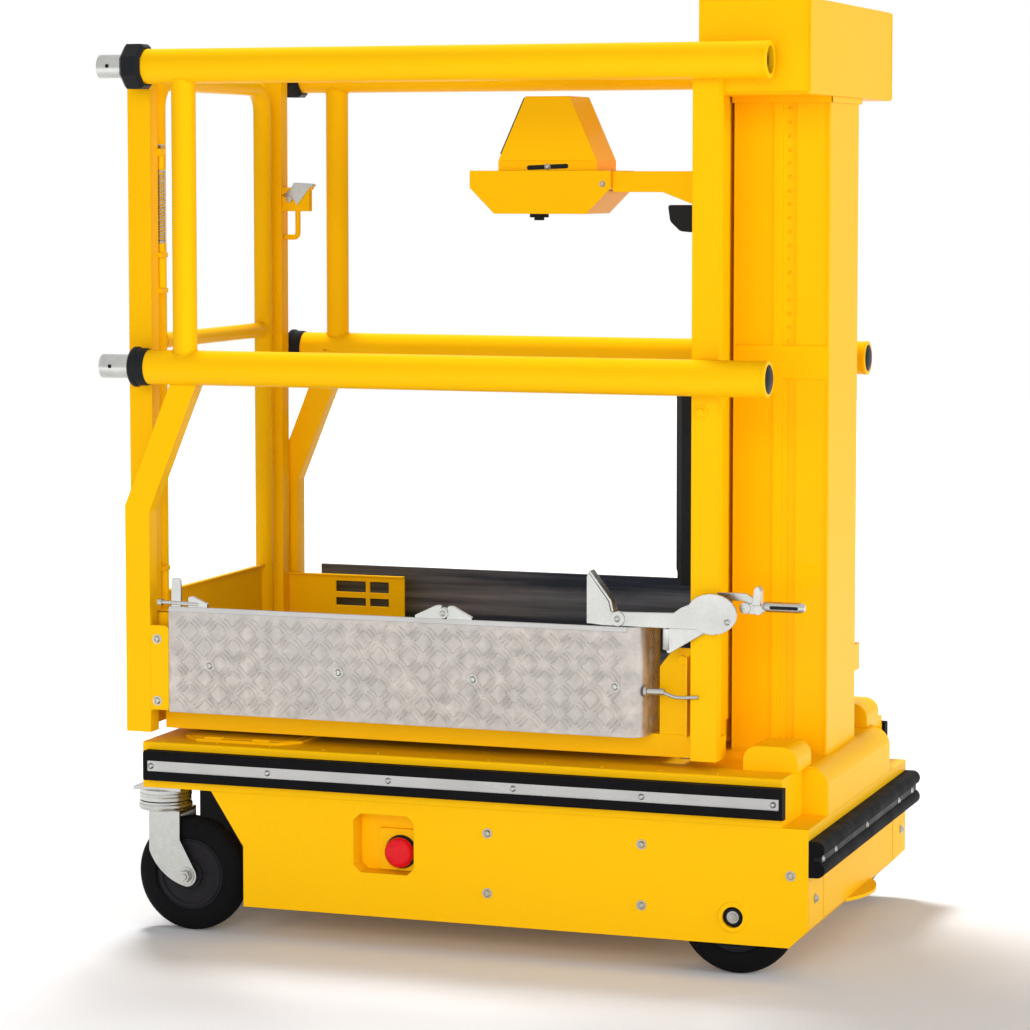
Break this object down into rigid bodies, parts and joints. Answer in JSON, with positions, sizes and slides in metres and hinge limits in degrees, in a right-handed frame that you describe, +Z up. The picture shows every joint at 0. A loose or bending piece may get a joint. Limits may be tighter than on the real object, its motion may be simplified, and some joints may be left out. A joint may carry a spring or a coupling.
{
  "type": "vertical mast lift",
  "caption": "Compact single-person vertical mast lift: box chassis on casters and drive wheels, telescopic mast, guarded cage with sliding end frame and gate.",
  "frame": {"origin": "centre of the bounding box at the floor under the wheels", "axes": "+Z up, +X towards the mast end, -X towards the entry gate, -Y is the side with the stop button"},
  "size_m": [1.292, 0.77, 1.603],
  "materials": {
    "yellow_paint": "glossy yellow powder coat",
    "black_rubber": "matt black rubber",
    "bare_aluminium": "brushed extrusion",
    "tread_aluminium": "five-bar tread sheet",
    "zinc_steel": "zinc-plated steel",
    "tyre_black": "solid rubber tyre",
    "hub_grey": "dark cast hub",
    "black_plastic": "black moulded plastic",
    "red_plastic": "red moulded plastic",
    "battery_case": "battery cases as one block"
  },
  "bodies": {
    "base": {"chassis_body": "yellow_paint", "side_plate_near": "yellow_paint", "side_plate_far": "yellow_paint", "stop_recess": "yellow_paint", "stop_button": "red_plastic", "axle_bushes": "zinc_steel", "chassis_tray": "yellow_paint", "motor_covers": "yellow_paint", "side_bumpers": "black_rubber", "side_bumper_strips": "bare_aluminium", "end_bumper": "black_rubber", "end_bumper_strip": "bare_aluminium", "battery_pack": "battery_case", "front_pan": "black_plastic", "caster_mounts": "zinc_steel", "drive_motors": "hub_grey", "mast_fixed_section": "yellow_paint", "mast_stub": "yellow_paint"},
    "caster_near": {"caster_fork_near": "zinc_steel"},
    "caster_far": {"caster_fork_far": "zinc_steel"},
    "caster_wheel_near": {"caster_tyre_near": "tyre_black", "caster_hub_near": "hub_grey"},
    "caster_wheel_far": {"caster_tyre_far": "tyre_black", "caster_hub_far": "hub_grey"},
    "drive_wheel_near": {"drive_tyre_near": "tyre_black", "drive_hub_near": "hub_grey"},
    "drive_wheel_far": {"drive_tyre_far": "tyre_black", "drive_hub_far": "hub_grey"},
    "stage_1": {"mast_stage_1": "bare_aluminium"},
    "stage_2": {"mast_stage_2": "bare_aluminium"},
    "cage": {"mast_stage_3": "bare_aluminium", "mast_head": "yellow_paint", "top_rails": "yellow_paint", "middle_rails": "yellow_paint", "rail_stiles": "yellow_paint", "rear_posts": "yellow_paint", "lower_posts": "yellow_paint", "rail_collars": "black_plastic", "rail_plugs": "black_plastic", "floor_frame": "yellow_paint", "deck": "tread_aluminium", "toe_boards": "tread_aluminium", "back_panel": "yellow_paint", "document_box": "black_plastic", "control_box": "yellow_paint", "control_arm": "yellow_paint", "deck_lock": "zinc_steel", "deck_clips": "zinc_steel"},
    "extension": {"sliding_tubes": "zinc_steel", "end_frame": "yellow_paint", "extension_deck": "tread_aluminium", "extension_toe_boards": "yellow_paint", "gate_spring": "zinc_steel", "gate_latch": "yellow_paint"},
    "gate": {"gate_frame": "yellow_paint", "gate_toe_board": "yellow_paint"}
  },
  "joints": [
    {"name": "caster_swivel_near", "type": "hinge", "parent": "base", "child": "caster_near", "pos_m": [-0.549, -0.315, 0.2], "axis": [0, 0, 1], "continuous": true},
    {"name": "caster_roll_near", "type": "hinge", "parent": "caster_near", "child": "caster_wheel_near", "pos_m": [-0.495, -0.315, 0.1], "axis": [0, 1, 0], "continuous": true},
    {"name": "drive_roll_near", "type": "hinge", "parent": "base", "child": "drive_wheel_near", "pos_m": [0.492, -0.315, 0.1], "axis": [0, 1, 0], "continuous": true},
    {"name": "caster_swivel_far", "type": "hinge", "parent": "base", "child": "caster_far", "pos_m": [-0.549, 0.315, 0.2], "axis": [0, 0, 1], "continuous": true},
    {"name": "caster_roll_far", "type": "hinge", "parent": "caster_far", "child": "caster_wheel_far", "pos_m": [-0.495, 0.315, 0.1], "axis": [0, 1, 0], "continuous": true},
    {"name": "drive_roll_far", "type": "hinge", "parent": "base", "child": "drive_wheel_far", "pos_m": [0.492, 0.315, 0.1], "axis": [0, 1, 0], "continuous": true},
    {"name": "mast_lift", "type": "slide", "parent": "base", "child": "stage_1", "axis": [0, 0, 1], "range_m": [0, 0.835]},
    {"name": "mast_lift_2", "type": "slide", "parent": "stage_1", "child": "stage_2", "axis": [0, 0, 1], "range_m": [0, 0.835]},
    {"name": "mast_lift_3", "type": "slide", "parent": "stage_2", "child": "cage", "axis": [0, 0, 1], "range_m": [0, 0.835]},
    {"name": "deck_extension", "type": "slide", "parent": "cage", "child": "extension", "axis": [-1, 0, 0], "range_m": [0, 0.4]},
    {"name": "gate_hinge", "type": "hinge", "parent": "extension", "child": "gate", "pos_m": [-0.5765, -0.258, 1], "axis": [0, 0, -1], "range_deg": [0, 90], "stiffness_Nm_per_rad": 3, "springref_deg": -22.92}
  ],
  "couplings": [
    {"joint": "mast_lift_2", "follows": "mast_lift", "ratio": 1},
    {"joint": "mast_lift_3", "follows": "mast_lift", "ratio": 1}
  ]
}
